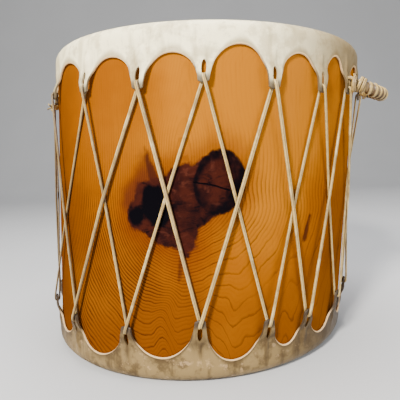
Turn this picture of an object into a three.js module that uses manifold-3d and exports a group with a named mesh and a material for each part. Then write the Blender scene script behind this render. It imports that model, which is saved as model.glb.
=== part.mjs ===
// A two-headed ceremonial log drum: a hollowed log with a rawhide head over each end, two rawhide laces that
// zigzag between the heads and cross each other all round, and a wrapped carrying handle.
// Millimetres, +Z up. The origin is the centre of the flat underside and the front faces -Y.
// Angles are in degrees round the log from the front, growing towards +X.
// Every piece is laid out round an upright log with level ends, and leanOver() then gives it the real log's lean.
import * as THREE from "three";
import { mergeVertices } from "three/addons/utils/BufferGeometryUtils.js";
import Module from "manifold-3d";

const wasm = await Module();
wasm.setup();

// Driving dimensions of the log
const drumHeight = 324;
const logTopDiameter = 348;
const logBaseDiameter = 343;
const logWall = 20;
const logEdgeRound = 11;
const lean = 25;
const topTilt = 2.4;

// Driving dimensions of the rawhide heads, measured along the log from a head's flat face
const hideThickness = 2;
const archDrop = 25;
const slotDrop = 38.5;
const slotLength = 13.5;
const tailLength = 5;
const tipEndWidth = 10;
const tipLiftDrop = 35;

// Driving dimensions of the laces
const underLaceDiameter = 3.2;
const overLaceDiameter = 3.7;
const crossingLift = 2;
const laceEndGap = 2;
const laceKnotDistance = 13;
const laceKnotWidth = 6.2;
const laceKnotHeight = 9;
const laceBandDiameter = 2.5;
const laceTailLength = 9;
const laceTailDiameter = 2.2;

// Driving dimensions of the handle
const handleDiameter = 14;
const handleRootDiameter = 10;
const handleReach = 22;
const handleRootOut = 8.4;
const handleRootDrop = 45;
const handleDroop = 11;
const handleRootDistance = 8.5;
const wrapWidth = 5.2;
const wrapGroove = 0.8;
const swellWraps = 3;
const tieDiameter = 3;
const tieDistance = 5.5;
const tieTurnSpacing = 2;
const tieSpread = 0.12;

// Clearances between touching pieces
const hideGap = 0.3;
const laceGap = 0.6;
const tieGap = 0.4;

// Facets
const logFacets = 40;
const roundFacets = 2;
const archFacets = 2;
const slotFacets = 1;
const laceSides = 4;
const handleSides = 8;
const turnSteps = 3;
const tieFacets = 8;
const knotSides = 6;
const knotRings = 4;
const bandSides = 4;

// Limits of arithmetic
const weldDistance = 1e-4;
const rounding = 1e-6;

// The tips of each head. Those in front are unevenly spaced by hand, listed from left to right as the angle, the
// tip's extra drop, and the extra drop of the arch on its right. The others follow evenly round the back.
const tipCount = 18;
const topFrontTips = [
  [-63, -3, -1.6],
  [-39.2, -1.3, 2.1],
  [-19.2, 0.4, 2.7],
  [-0.8, -3.4, -3.3],
  [19, 1.6, 1.4],
  [36.3, 2.2, -1.7],
  [51.5, 0, 0],
];
const bottomFrontTips = [
  [-67, 0, 0.4],
  [-46, -3.6, -4.7],
  [-22.5, -2.3, 0.8],
  [0.2, 5.8, -3.8],
  [21.2, -0.4, 0.3],
  [36.4, -0.9, -1.3],
  [55.5, 2.5, 0],
];
const knotNumber = 0;
const hiddenEndsNumber = 11;
const handleNumbers = [6, 7];

const degrees = THREE.MathUtils.radToDeg;
const radians = THREE.MathUtils.degToRad;
const slotWidth = overLaceDiameter + 2 * laceGap;
const slotEndDrop = slotDrop + slotLength;
const tipDrop = slotEndDrop + tailLength;
const tailOut = overLaceDiameter + 2 * laceGap;
const cutterReach = 3 * tailOut;

function tipsRound(frontTips) {
  const tips = frontTips.map(([angle, shift, archShift]) => ({ angle, shift, archShift }));
  const last = tips[tips.length - 1].angle;
  const others = tipCount - tips.length;
  const gap = (360 + tips[0].angle - last) / (others + 1);
  for (let i = 1; i <= others; i += 1) {
    tips.push({ angle: last + gap * i, shift: 0, archShift: 0 });
  }
  return tips;
}

const top = { face: drumHeight, inward: -1, tips: tipsRound(topFrontTips) };
const bottom = { face: 0, inward: 1, tips: tipsRound(bottomFrontTips) };

// The tip with a number counted on past the last one, so that its angle keeps growing
function tipAt(end, number) {
  const turns = Math.floor(number / tipCount);
  const tip = end.tips[number - turns * tipCount];
  return { ...tip, angle: tip.angle + 360 * turns };
}

function heightAt(end, drop) {
  return end.face + end.inward * drop;
}

function logRadius(height) {
  return THREE.MathUtils.lerp(logBaseDiameter, logTopDiameter, height / drumHeight) / 2;
}

// The point at an angle round the log and a height, at a distance out from the log's side
function aroundLog(angle, height, out) {
  const radius = logRadius(height) + out;
  const turn = radians(angle);
  return new THREE.Vector3(radius * Math.sin(turn), -radius * Math.cos(turn), height);
}

function angleAlong(length, height) {
  return degrees(length / logRadius(height));
}

function solidOf(geometry) {
  const bare = geometry.clone();
  bare.deleteAttribute("normal");
  bare.deleteAttribute("uv");
  const merged = mergeVertices(bare, weldDistance);
  return new wasm.Manifold(
    new wasm.Mesh({
      numProp: 3,
      vertProperties: merged.attributes.position.array,
      triVerts: Uint32Array.from(merged.index.array),
    }),
  );
}

function geometryOf(solid) {
  const mesh = solid.getMesh();
  const geometry = new THREE.BufferGeometry();
  geometry.setAttribute("position", new THREE.BufferAttribute(mesh.vertProperties, 3));
  geometry.setIndex(new THREE.BufferAttribute(mesh.triVerts, 1));
  return geometry;
}

// A solid of revolution from a profile of radius and height
function turned(profile, facets) {
  return new THREE.LatheGeometry(profile, facets).rotateX(Math.PI / 2);
}

// The real log leans to the right as it rises, and its top slopes down that way. The underside stays level.
function leanOver(geometry) {
  const position = geometry.attributes.position;
  const slope = Math.tan(radians(topTilt));
  for (let i = 0; i < position.count; i += 1) {
    const x = position.getX(i);
    const z = position.getZ(i);
    const share = z / drumHeight;
    position.setX(i, x + lean * share);
    position.setZ(i, z - slope * share * x);
  }
  geometry.computeVertexNormals();
  return geometry;
}

// A quarter round at a head's rim, from the flat face to the side, about the log's own edge round
function rimRound(end, radius) {
  const points = [];
  const centreDrop = hideThickness + hideGap + logEdgeRound;
  const height = heightAt(end, centreDrop);
  for (let i = 0; i <= roundFacets; i += 1) {
    const turn = ((Math.PI / 2) * i) / roundFacets;
    const across = logRadius(height) - logEdgeRound + radius * Math.sin(turn);
    points.push(new THREE.Vector2(across, height - end.inward * radius * Math.cos(turn)));
  }
  return points;
}

// Hollowed log

function logShell() {
  const outside = [...rimRound(bottom, logEdgeRound), ...rimRound(top, logEdgeRound).reverse()];
  const boreTop = new THREE.Vector2(logTopDiameter / 2 - logWall, outside[outside.length - 1].y);
  const boreBase = new THREE.Vector2(logBaseDiameter / 2 - logWall, outside[0].y);
  return turned([boreBase, ...outside, boreTop, boreBase], logFacets);
}

// Rawhide heads

// One side of the hide from the rim down: it hugs the log, then stands off it where the laces pass behind the tips
function skirtSide(end, out) {
  const lowest = tipDrop + Math.max(...end.tips.map((tip) => tip.shift)) + tailLength;
  const places = [
    [tipLiftDrop, hideGap + out],
    [slotEndDrop - tailLength, tailOut + out],
    [lowest, tailOut + out],
  ];
  return places.map(([drop, distance]) => {
    const height = heightAt(end, drop);
    return new THREE.Vector2(logRadius(height) + distance, height);
  });
}

function plainHead(end) {
  const inside = [...rimRound(end, logEdgeRound + hideGap), ...skirtSide(end, 0)];
  const outside = [
    ...rimRound(end, logEdgeRound + hideGap + hideThickness),
    ...skirtSide(end, hideThickness),
  ];
  const innerMiddle = new THREE.Vector2(0, heightAt(end, hideThickness));
  const outerMiddle = new THREE.Vector2(0, heightAt(end, 0));
  const profile = [innerMiddle, ...inside, ...outside.reverse(), outerMiddle];
  return turned(end === top ? profile : profile.reverse(), logFacets);
}

// A cutter with an outline drawn across and up towards the head's flat face, run in through the skirt at an angle
function skirtCutter(end, angle, outline, curveSegments) {
  const cutter = new THREE.ExtrudeGeometry(outline, {
    depth: 2 * cutterReach,
    bevelEnabled: false,
    curveSegments,
  });
  const face = new THREE.Vector3(0, 0, -end.inward);
  const out = new THREE.Vector3(Math.sin(radians(angle)), -Math.cos(radians(angle)), 0);
  const across = new THREE.Vector3(Math.cos(radians(angle)), Math.sin(radians(angle)), 0);
  const deep = out.clone().multiplyScalar(-end.inward);
  const start = aroundLog(angle, end.face, 0).addScaledVector(deep, -cutterReach);
  cutter.applyMatrix4(new THREE.Matrix4().makeBasis(across, face, deep).setPosition(start));
  return solidOf(cutter);
}

// The opening between two tips: it trims both tips to length and rises to a round top between them
function archCutter(end, left, right) {
  const overlap = 1;
  const floor = -2 * tipDrop;
  const halfTurn = radians(right.angle - left.angle) / 2;
  const halfGap = (logRadius(heightAt(end, tipDrop)) + tailOut) * Math.sin(halfTurn);
  const half = halfGap - tipEndWidth / 2;
  const leftEnd = -tipDrop - left.shift;
  const rightEnd = -tipDrop - right.shift;
  const crown = -archDrop - left.archShift;
  const outline = new THREE.Shape();
  outline.moveTo(-halfGap - overlap, floor);
  outline.lineTo(halfGap + overlap, floor);
  outline.lineTo(halfGap + overlap, rightEnd);
  outline.lineTo(half, rightEnd);
  outline.absellipse(0, rightEnd, half, crown - rightEnd, 0, Math.PI / 2, false);
  outline.absellipse(0, leftEnd, half, crown - leftEnd, Math.PI / 2, Math.PI, false);
  outline.lineTo(-halfGap - overlap, leftEnd);
  return skirtCutter(end, (left.angle + right.angle) / 2, outline, archFacets);
}

function slotCutter(end, tip) {
  const round = slotWidth / 2;
  const outline = new THREE.Shape();
  outline.absarc(0, -slotDrop - tip.shift - round, round, 0, Math.PI, false);
  outline.lineTo(-round, -slotEndDrop - tip.shift);
  outline.lineTo(round, -slotEndDrop - tip.shift);
  return skirtCutter(end, tip.angle, outline, slotFacets);
}

function head(end) {
  let hide = solidOf(plainHead(end));
  for (let i = 0; i < tipCount; i += 1) {
    hide = hide.subtract(archCutter(end, tipAt(end, i), tipAt(end, i + 1)));
    hide = hide.subtract(slotCutter(end, tipAt(end, i)));
  }
  return geometryOf(hide);
}

// Laces

// A route of straight stretches: one step of its parameter is one stretch, and it turns evenly at each corner
class Route extends THREE.Curve {
  constructor(points) {
    super();
    this.points = points;
  }

  getPointAt(share, target = new THREE.Vector3()) {
    const place = share * (this.points.length - 1);
    const index = Math.min(Math.floor(place + rounding), this.points.length - 2);
    return target.lerpVectors(this.points[index], this.points[index + 1], place - index);
  }

  getTangentAt(share, target = new THREE.Vector3()) {
    const index = Math.round(share * (this.points.length - 1));
    const here = this.points[index];
    const before = this.points[Math.max(index - 1, 0)];
    const after = this.points[Math.min(index + 1, this.points.length - 1)];
    const arriving = new THREE.Vector3().subVectors(here, before).normalize();
    const leaving = new THREE.Vector3().subVectors(after, here).normalize();
    return target.addVectors(arriving, leaving).normalize();
  }
}

function thong(points, diameter) {
  const section = new THREE.Shape();
  for (let i = 0; i < laceSides; i += 1) {
    const turn = (2 * Math.PI * i) / laceSides;
    const corner = [(diameter / 2) * Math.cos(turn), (diameter / 2) * Math.sin(turn)];
    section[i === 0 ? "moveTo" : "lineTo"](...corner);
  }
  return new THREE.ExtrudeGeometry(section, {
    steps: points.length - 1,
    extrudePath: new Route(points),
    bevelEnabled: false,
  });
}

const underLace = {
  diameter: underLaceDiameter,
  crossingOut: underLaceDiameter / 2 + crossingLift,
};
const overLace = {
  diameter: overLaceDiameter,
  crossingOut: underLace.crossingOut + (underLaceDiameter + overLaceDiameter) / 2 + laceGap,
};

// The lace comes up behind a tip, turns round the end of its slot and goes back over its front, to the right
function turnAtTip(end, tip, lace) {
  const turnRadius = (lace.diameter + hideThickness) / 2 + laceGap;
  const middleOut = tailOut + hideThickness / 2;
  const points = [];
  for (let i = 0; i <= turnSteps; i += 1) {
    const turn = (Math.PI * i) / turnSteps;
    const drop = slotEndDrop + tip.shift - turnRadius * Math.sin(turn);
    points.push(aroundLog(tip.angle, heightAt(end, drop), middleOut - turnRadius * Math.cos(turn)));
  }
  return points;
}

// Where the lace crosses the other one, halfway between tips that face each other in pairs
function crossing(number, lace) {
  const topGap = tipAt(top, number + 1).angle - tipAt(top, number).angle;
  const bottomGap = tipAt(bottom, number + 1).angle - tipAt(bottom, number).angle;
  const share = topGap / (topGap + bottomGap);
  const from = tipAt(top, number);
  const to = tipAt(bottom, number + 1);
  const height = THREE.MathUtils.lerp(
    heightAt(top, slotEndDrop + from.shift),
    heightAt(bottom, slotEndDrop + to.shift),
    share,
  );
  return aroundLog(THREE.MathUtils.lerp(from.angle, to.angle, share), height, lace.crossingOut);
}

// The place where the lace leaves the front of a tip, just past the tip's end
function pastTip(end, tip, from, to) {
  const run = tailLength + laceGap;
  const share = run / Math.abs(to.z - from.z);
  const height = heightAt(end, slotEndDrop + tip.shift + run);
  const aim = new THREE.Vector3().lerpVectors(from, to, share);
  const angle = degrees(Math.atan2(aim.x, -aim.y));
  return aroundLog(angle, height, Math.hypot(from.x, from.y) - logRadius(from.z));
}

// One whole round of a lace, from behind the tip with a number to the strand that comes back up to it
function laceRound(lace, firstTip) {
  const points = [];
  for (let number = firstTip; number < firstTip + tipCount; number += 1) {
    const end = (number - firstTip) % 2 === 0 ? top : bottom;
    const tip = tipAt(end, number);
    const turn = turnAtTip(end, tip, lace);
    const cross = crossing(number, lace);
    points.push(...turn, pastTip(end, tip, turn[turn.length - 1], cross), cross);
  }
  return points;
}

// The under lace is tied off out of sight: both of its ends are tucked behind one tip at the back
function underLaceGeometry() {
  const route = laceRound(underLace, hiddenEndsNumber);
  const lastCrossing = route[route.length - 1];
  const end = route[0].clone().lerp(lastCrossing, laceEndGap / route[0].distanceTo(lastCrossing));
  return thong([...route, end], underLace.diameter);
}

// The ends of the over lace are tied together below one tip, and two short tails stand out of the knot
function overLaceGeometry() {
  const route = laceRound(overLace, knotNumber);
  const lastCrossing = route[route.length - 1];
  const strandLength = route[0].distanceTo(lastCrossing);
  const tuck = route[0].clone().lerp(lastCrossing, (tailLength + 2 * laceGap) / strandLength);
  const knot = route[0].clone().lerp(lastCrossing, laceKnotDistance / strandLength);
  const outward = new THREE.Vector3(knot.x, knot.y, 0).normalize();
  knot.addScaledVector(outward, overLace.diameter / 2);
  let lace = solidOf(thong([knot, tuck, ...route, knot], overLace.diameter));
  lace = lace.add(laceKnot(knot, outward));
  return geometryOf(lace);
}

// A wrapped knot: a rounded body with a band of lace round its middle, and two tails that stand out from it
function laceKnot(place, outward) {
  const middle = new THREE.SphereGeometry(0.5, knotSides, knotRings);
  middle.scale(laceKnotWidth, laceKnotWidth, laceKnotHeight);
  const bandRadius = (laceKnotWidth - laceGap) / 2;
  const band = new THREE.TorusGeometry(bandRadius, laceBandDiameter / 2, bandSides, knotSides);
  const aside = new THREE.Vector3(-outward.y, outward.x, 0);
  const up = new THREE.Vector3(0, 0, 1);
  const upperAim = outward.clone().addScaledVector(aside, 1 / 3).addScaledVector(up, 1 / 3);
  const lowerAim = outward.clone().addScaledVector(aside, -1 / 2).addScaledVector(up, -1 / 2);
  let knot = solidOf(middle.translate(place.x, place.y, place.z));
  knot = knot.add(solidOf(band.translate(place.x, place.y, place.z)));
  for (const aim of [upperAim, lowerAim]) {
    const tip = place.clone().addScaledVector(aim.normalize(), laceTailLength);
    knot = knot.add(solidOf(thong([place, tip], laceTailDiameter)));
  }
  return knot;
}

// Carrying handle

const handleEnds = handleNumbers.map((number) => tipAt(top, number));
const handleRootAngle = angleAlong(handleRootDistance, heightAt(top, handleRootDrop));

// The line of the handle: a half oval that stands out from the log between its two ties and hangs a little
class HandleLine extends THREE.Curve {
  getPoint(share, target = new THREE.Vector3()) {
    const turn = Math.PI * share;
    const first = handleEnds[0].angle + handleRootAngle;
    const last = handleEnds[1].angle - handleRootAngle;
    const angle = (first + last) / 2 - ((last - first) / 2) * Math.cos(turn);
    const drop = handleRootDrop + handleDroop * Math.sin(turn);
    const out = handleRootOut + handleReach * Math.sin(turn);
    return target.copy(aroundLog(angle, heightAt(top, drop), out));
  }
}

const handleLine = new HandleLine();
const handleLength = handleLine.getLength();

// Directions across the handle at a distance along it: to its side, along it and upwards
function handleFrame(along) {
  const share = THREE.MathUtils.clamp(along / handleLength, 0, 1);
  const ahead = handleLine.getTangentAt(share);
  const side = new THREE.Vector3().crossVectors(ahead, new THREE.Vector3(0, 0, 1)).normalize();
  return { place: handleLine.getPointAt(share), ahead, side, rise: side.clone().cross(ahead) };
}

// The handle swells from its roots to its full thickness over a few wraps
function handleRadius(along) {
  const taper = Math.min(along, handleLength - along) / (swellWraps * wrapWidth);
  const share = THREE.MathUtils.smoothstep(taper, 0, 1);
  return THREE.MathUtils.lerp(handleRootDiameter, handleDiameter, share) / 2;
}

// A straight rod whose wraps stand up between grooves, then bent along the handle's line
function handleGeometry() {
  const wraps = Math.round(handleLength / wrapWidth);
  const profile = [new THREE.Vector2(0, 0)];
  for (let i = 0; i <= 2 * wraps; i += 1) {
    const along = (handleLength * i) / (2 * wraps);
    const groove = i % 2 === 0 ? wrapGroove : 0;
    profile.push(new THREE.Vector2(handleRadius(along) - groove, along));
  }
  profile.push(new THREE.Vector2(0, handleLength));
  const rod = new THREE.LatheGeometry(profile, handleSides);
  const position = rod.attributes.position;
  for (let i = 0; i < position.count; i += 1) {
    const { place, side, rise } = handleFrame(position.getY(i));
    place.addScaledVector(side, position.getX(i)).addScaledVector(rise, position.getZ(i));
    position.setXYZ(i, place.x, place.y, place.z);
  }
  return rod;
}

// A tie: two turns of thong round the root of the handle, and a strap from them into the slot of the tip
function handleTie(tip, along) {
  const radius = handleRadius(along) + tieGap + tieDiameter / 2;
  const inward = along < handleLength / 2 ? 1 : -1;
  let tie;
  for (const step of [0, tieTurnSpacing]) {
    const frame = handleFrame(along + inward * step);
    const ring = new THREE.TorusGeometry(radius + step * tieSpread, tieDiameter / 2, laceSides, tieFacets);
    const basis = new THREE.Matrix4().makeBasis(frame.rise, frame.side, frame.ahead);
    const turn = solidOf(ring.applyMatrix4(basis.setPosition(frame.place)));
    tie = tie ? tie.add(turn) : turn;
  }
  const root = handleFrame(along);
  const hold = root.place.clone().addScaledVector(root.side, radius);
  const strapHeight = heightAt(top, slotDrop + tip.shift + slotWidth / 2);
  const strap = [
    aroundLog(tip.angle, strapHeight, hideGap + hideThickness),
    aroundLog(tip.angle, strapHeight, tailOut + hideThickness + laceGap + tieDiameter / 2),
    hold,
  ];
  return geometryOf(tie.add(solidOf(thong(strap, tieDiameter))));
}

// Materials and assembly

function piece(name, geometry, color, roughness) {
  const material = new THREE.MeshStandardMaterial({ color, roughness, metalness: 0 });
  const mesh = new THREE.Mesh(leanOver(geometry), material);
  mesh.name = name;
  return mesh;
}

const varnishedWood = 0xb9701f;
const creamHide = 0xd8cfbb;
const greyHide = 0xb7aa90;
const creamThong = 0xe2d3b0;

const drum = new THREE.Group();
drum.add(
  piece("log_shell", logShell(), varnishedWood, 0.35),
  piece("top_head", head(top), creamHide, 0.7),
  piece("bottom_head", head(bottom), greyHide, 0.7),
  piece("under_lace", underLaceGeometry(), creamThong, 0.6),
  piece("over_lace", overLaceGeometry(), creamThong, 0.6),
  piece("handle", handleGeometry(), creamThong, 0.6),
  piece("front_handle_tie", handleTie(handleEnds[0], tieDistance), creamThong, 0.6),
  piece("rear_handle_tie", handleTie(handleEnds[1], handleLength - tieDistance), creamThong, 0.6),
);

export default drum;
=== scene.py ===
"""A laced log drum with two rawhide heads and a wrapped carrying handle, on a pale studio floor."""

import math

import bmesh
import bpy
import numpy as np
from bpy.props import FloatProperty, FloatVectorProperty, IntProperty, PointerProperty
from mathutils import Matrix, Vector


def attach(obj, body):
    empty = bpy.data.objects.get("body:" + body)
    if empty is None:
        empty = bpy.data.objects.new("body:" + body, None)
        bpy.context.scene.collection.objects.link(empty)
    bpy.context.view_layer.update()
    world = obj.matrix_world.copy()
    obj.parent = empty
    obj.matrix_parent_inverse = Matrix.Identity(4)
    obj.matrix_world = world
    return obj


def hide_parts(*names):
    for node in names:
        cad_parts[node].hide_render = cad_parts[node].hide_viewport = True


bl_info = {
    "name": "Laced log drum",
    "version": (1, 0, 0),
    "blender": (4, 5, 0),
    "location": "View3D > Sidebar > Drum",
    "description": "Builds a two-headed log drum with laced rawhide heads",
    "category": "Object",
}

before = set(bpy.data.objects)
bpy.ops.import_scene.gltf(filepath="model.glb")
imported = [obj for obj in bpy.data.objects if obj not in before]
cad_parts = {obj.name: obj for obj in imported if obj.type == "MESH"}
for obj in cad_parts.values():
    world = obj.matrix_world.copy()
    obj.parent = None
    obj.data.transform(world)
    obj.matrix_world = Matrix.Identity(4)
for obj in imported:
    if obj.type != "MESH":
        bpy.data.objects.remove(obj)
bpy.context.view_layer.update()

MM = 0.001

# Tips of each head from left to right in front: angle in degrees, extra drop of the tip and extra drop of the
# arch on its right in millimetres. The other tips follow evenly round the back.
TIP_COUNT = 18
TOP_FRONT_TIPS = (
    (-63, -3, -1.6),
    (-39.2, -1.3, 2.1),
    (-19.2, 0.4, 2.7),
    (-0.8, -3.4, -3.3),
    (19, 1.6, 1.4),
    (36.3, 2.2, -1.7),
    (51.5, 0, 0),
)
BOTTOM_FRONT_TIPS = (
    (-67, 0, 0.4),
    (-46, -3.6, -4.7),
    (-22.5, -2.3, 0.8),
    (0.2, 5.8, -3.8),
    (21.2, -0.4, 0.3),
    (36.4, -0.9, -1.3),
    (55.5, 2.5, 0),
)
KNOT_TIP = 0
HIDDEN_ENDS_TIP = 11
HANDLE_TIPS = (6, 7)

# Parts of the big knot on the log's front: angle in degrees, height, half width and half height in
# millimetres, and turn in degrees
KNOT_BODY = (
    (4.6, 185, 23, 28, 0),
    (-6.0, 181, 20, 20, 0),
    (-15.0, 168, 19, 22, 20),
    (-20.0, 157, 10, 13, 0),
    (-11.5, 146, 19, 15, -25),
    (-5.6, 150, 14, 24, 10),
    (-1.0, 160, 12, 10, -35),
    (-3.5, 190, 12, 11, 0),
    (-4.6, 134, 6, 12, 10),
)
BLACK_LOBES = (
    (-14.8, 170, 11, 17, 10),
    (-12.6, 158, 10, 11, 0),
    (-20.2, 156, 7.5, 9.5, 0),
)
RING_BRANCH = (4.8, 185.5, 21.5, 27, 0)
CRACK_POINTS = ((-1.9, 185.6), (2.2, 183.6), (6.9, 179.2))
KNOT_HEART = (-6, 168)

# Dark lines beside the knot: their points as above, and their widths in millimetres at both ends
STAIN = (((-17.4, 208), (-17.5, 190), (-21, 172)), 6, 22)
STREAKS = (
    (((-4.6, 126), (-6.0, 117), (-6.4, 98)), 4, 1),
    (((36.6, 149), (35.6, 138), (34.8, 127)), 2.5, 6),
    (((-17.8, 219), (-16.6, 205), (-14.7, 188)), 0.3, 9),
)

# Radius at which the log's side is unrolled, width of a growth ring at the knot's heart and the distance over
# which the rings widen, in millimetres
UNROLL_RADIUS = 173.0
RING_WIDTH = 1.75
RING_SPREAD = 75

# How much darker each hide is painted at its right and left side, as painted shade, and between which x that
# shade grows there
SIDE_SHADES = {"top_hide": (0.92, 0.8), "bottom_hide": (1.0, 0.6)}
RIGHT_SHADE = (0.04, 0.165)
LEFT_SHADE = (-0.11, -0.17)
SHARP_ANGLE = math.radians(62)


def length(name, description, millimetres):
    default = millimetres * MM
    return FloatProperty(
        name=name, description=description, default=default, unit="LENGTH", subtype="DISTANCE", precision=4
    )


def tint(name, description, default):
    return FloatVectorProperty(
        name=name, description=description, default=default, subtype="COLOR", size=3, min=0, max=1
    )


class LogDrumSizes(bpy.types.PropertyGroup):
    """Sizes of the drum"""

    drum_height: length("Height", "Height of the drum over both heads", 324)
    log_top: length("Log top", "Diameter of the log at its top", 348)
    log_base: length("Log base", "Diameter of the log at its base", 343)
    log_wall: length("Wall", "Wall thickness of the hollowed log", 20)
    edge_round: length("Edge round", "Radius of the log's rounded end edges", 11)
    lean: length("Lean", "How far the top stands to the right of the base", 25)
    top_tilt: FloatProperty(
        name="Top tilt",
        description="Slope of the top down to the right",
        default=math.radians(2.4),
        subtype="ANGLE",
    )
    hide_thickness: length("Hide", "Thickness of the rawhide", 2)
    arch_drop: length("Arch drop", "Distance from a head's face to the top of an arch", 25)
    slot_drop: length("Slot drop", "Distance from a head's face to the start of a slot", 38.5)
    slot_length: length("Slot length", "Length of the slot in a tip", 13.5)
    slot_width: length("Slot width", "Width of the slot in a tip", 4.4)
    tail_length: length("Tail", "Hide left below a slot", 5)
    tip_end: length("Tip end", "Width of a tip at its end", 10)
    tip_lift_drop: length("Lift drop", "Distance from the face at which the tips start to stand off", 33)
    tip_out: length("Tip lift", "Distance of a lifted tip from the log", 4.9)
    hide_gap: length("Hide gap", "Gap between the hide and the log", 0.3)
    fold_height: length("Fold height", "Height of the tension folds above the slots", 2)
    over_width: length("Over lace width", "Width of the lace on top", 3.8)
    over_thickness: length("Over lace thickness", "Thickness of the lace on top", 2.5)
    under_width: length("Under lace width", "Width of the lace underneath", 3.2)
    under_thickness: length("Under lace thickness", "Thickness of the lace underneath", 2.1)
    lace_clearance: length("Lace clearance", "Gap between a lace and what it rests on", 0.35)
    handle_thickness: length("Handle", "Thickness of the handle over its wraps", 14)
    handle_root: length("Handle root", "Thickness of the handle at its roots", 10)
    handle_reach: length("Handle reach", "How far the handle's middle stands beyond its roots", 22)
    handle_root_out: length("Root out", "Distance of the handle's roots from the log", 8.4)
    handle_root_drop: length("Root drop", "Distance of the handle's roots below the top", 45)
    handle_droop: length("Droop", "How far the handle hangs below its roots", 11)
    handle_root_distance: length("Root distance", "Distance of a root from its tip", 8.5)
    wrap_width: length("Wrap width", "Width of one wrap round the handle", 5.2)
    tie_thickness: length("Tie", "Width of the thong in the ties", 3.6)
    tie_distance: length("Tie distance", "Distance of a tie from the handle's end", 5.5)
    seed: IntProperty(name="Seed", description="Seed of everything irregular", default=7)


class LogDrumColors(bpy.types.PropertyGroup):
    """Colours of the drum"""

    amber: tint("Amber", "Varnished wood in the middle of the log", (0.205, 0.056, 0.0))
    # Pale amber also stands for the painted sheen near the top
    pale_amber: tint("Pale amber", "Varnished wood near the top", (0.31, 0.104, 0.003))
    # Deep amber also stands for the painted shade at the sides
    deep_amber: tint("Deep amber", "Varnished wood near the base and the sides", (0.14, 0.037, 0.001))
    growth_line: tint("Growth line", "Darker lines of the grain", (0.022, 0.0035, 0.0003))
    knot_brown: tint("Knot brown", "Red-brown heart of the knot", (0.03, 0.0065, 0.004))
    knot_black: tint("Knot black", "Nearly black lobes of the knot", (0.002, 0.0017, 0.0026))
    cream_hide: tint("Cream hide", "Rawhide of the top head", (0.97, 0.87, 0.54))
    # Aged hide stands for the top head's darker patches and also for its painted shade
    aged_and_shaded_hide: tint("Aged hide", "Darker patches of the top head", (0.145, 0.087, 0.024))
    grey_hide: tint("Grey hide", "Rawhide of the bottom head", (0.205, 0.135, 0.05))
    # Dark hide stands for the bottom head's darker patches and also for its painted shade
    dark_hide: tint("Dark hide", "Darker patches of the bottom head", (0.043, 0.0225, 0.0045))
    cut_edge: tint("Cut edge", "Fresh colour at the cut edges of the hide", (0.62, 0.41, 0.2))
    thong: tint("Thong", "Rawhide laces", (0.5, 0.335, 0.1))
    # Thong shade stands for soiling on the laces and also for their painted shade in grooves, along one edge
    # and between the wraps
    thong_soil_and_shade: tint("Thong shade", "Soiled parts of the laces", (0.045, 0.02, 0.005))
    knot_halo: tint("Knot halo", "Reddened wood round the knot", (0.085, 0.013, 0.0014))
    knot_stain: tint("Knot stain", "Purple stain beside the knot", (0.036, 0.007, 0.006))
    knot_light: tint("Knot light", "Redder flecks in the heart of the knot", (0.062, 0.016, 0.0095))
    # This colour is painted shadow at the ends of the tips
    shaded_tip_ends: tint("Worn tip", "Rubbed hide at the tips", (0.04, 0.028, 0.02))
    thong_light: tint("Thong light", "Cleanest parts of the laces", (0.86, 0.68, 0.33))
    floor: tint("Floor", "Studio floor", (0.5, 0.5, 0.5))


# Places round the log


def tips_round(front_tips):
    """All tips of a head as angle in radians, extra drop and extra arch drop in metres"""
    tips = [tuple(tip) for tip in front_tips]
    first, last = tips[0][0], tips[-1][0]
    others = TIP_COUNT - len(tips)
    gap = (360 + first - last) / (others + 1)
    tips += [(last + gap * (i + 1), 0, 0) for i in range(others)]
    return [(math.radians(a), b * MM, c * MM) for a, b, c in tips]


class End:
    """One end of the drum: its face height, the direction into the drum and its tips"""

    def __init__(self, face, inward, front_tips):
        self.face = face
        self.inward = inward
        self.tips = tips_round(front_tips)

    def height(self, drop):
        return self.face + self.inward * drop

    def tip(self, number):
        turns, index = divmod(number, TIP_COUNT)
        angle, shift, arch_shift = self.tips[index]
        return angle + 2 * math.pi * turns, shift, arch_shift


def drum_ends(sizes):
    return End(sizes.drum_height, -1, TOP_FRONT_TIPS), End(0.0, 1, BOTTOM_FRONT_TIPS)


def log_radius(sizes, height):
    return (sizes.log_base + (sizes.log_top - sizes.log_base) * height / sizes.drum_height) / 2


def lean_over(sizes, points):
    """The real log leans to the right as it rises, and its top slopes down that way"""
    points = np.array(points, dtype=float)
    share = points[..., 2] / sizes.drum_height
    x = points[..., 0].copy()
    points[..., 0] = x + sizes.lean * share
    points[..., 2] -= math.tan(sizes.top_tilt) * share * x
    return points


def ring_points(radius, angle, height):
    """Points round the upright log's axis"""
    return np.stack(np.broadcast_arrays(radius * np.sin(angle), -radius * np.cos(angle), height), axis=-1)


def around_log(sizes, angle, height, out):
    """Points round the upright log at an angle, a height and a distance out from its side"""
    return ring_points(log_radius(sizes, height) + out, angle, height)


def unit(vectors):
    return vectors / np.linalg.norm(vectors, axis=-1, keepdims=True)


def smooth_step(low, high, value):
    share = np.clip((value - low) / (high - low), 0, 1)
    return share * share * (3 - 2 * share)


def bell(value, width):
    """1 at zero, falling off to both sides"""
    return np.exp(-((value / width) ** 2))


# Meshes


def new_object(name, mesh):
    obj = bpy.data.objects.new(name, mesh)
    bpy.context.scene.collection.objects.link(obj)
    return obj


def mesh_from(name, points, faces):
    mesh = bpy.data.meshes.new(name)
    mesh.from_pydata([tuple(p) for p in points], [], [tuple(f) for f in faces])
    mesh.update()
    return mesh


def grid_faces(rows, columns, first=0, closed=True, looped=False, flip=False):
    """Quads of a grid numbered row by row; closed joins its sides, looped its last and first row"""
    faces = []
    for r in range(rows if looped else rows - 1):
        here, above = first + r * columns, first + (r + 1) % rows * columns
        for c in range(columns if closed else columns - 1):
            d = (c + 1) % columns
            quad = (here + c, here + d, above + d, above + c)
            faces.append(quad[::-1] if flip else quad)
    return faces


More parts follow.
